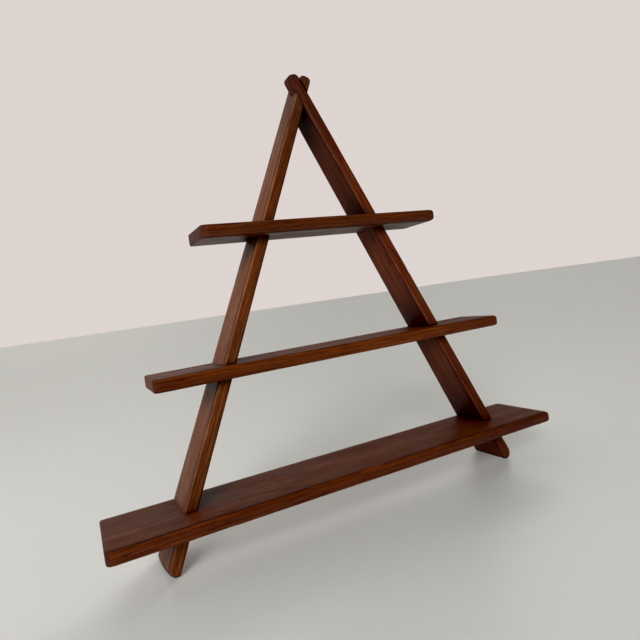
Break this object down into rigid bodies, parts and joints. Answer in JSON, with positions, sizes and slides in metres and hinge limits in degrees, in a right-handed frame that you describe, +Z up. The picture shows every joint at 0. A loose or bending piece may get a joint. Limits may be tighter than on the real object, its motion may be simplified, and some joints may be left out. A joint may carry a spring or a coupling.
{
  "type": "ladder shelf",
  "caption": "Free-standing A-shaped display shelf in oiled teak: two leaning tapered uprights crossed at the top and halved into shelf boards that get longer and deeper towards the bottom.",
  "frame": {"origin": "on the surface the feet stand on, under the middle of the bottom shelf's length and depth", "axes": "+X to the right along the shelves, +Y to the flush back, +Z up"},
  "size_m": [0.6, 0.097, 0.5517],
  "materials": {
    "teak_shelf": "satin oil over fine straight grain along the board",
    "teak_upright": "satin oil over fine straight grain along the board"
  },
  "bodies": {
    "root": {"shelf_bottom": "teak_shelf", "shelf_middle": "teak_shelf", "shelf_top": "teak_shelf", "upright_left": "teak_upright", "upright_right": "teak_upright"}
  },
  "joints": []
}
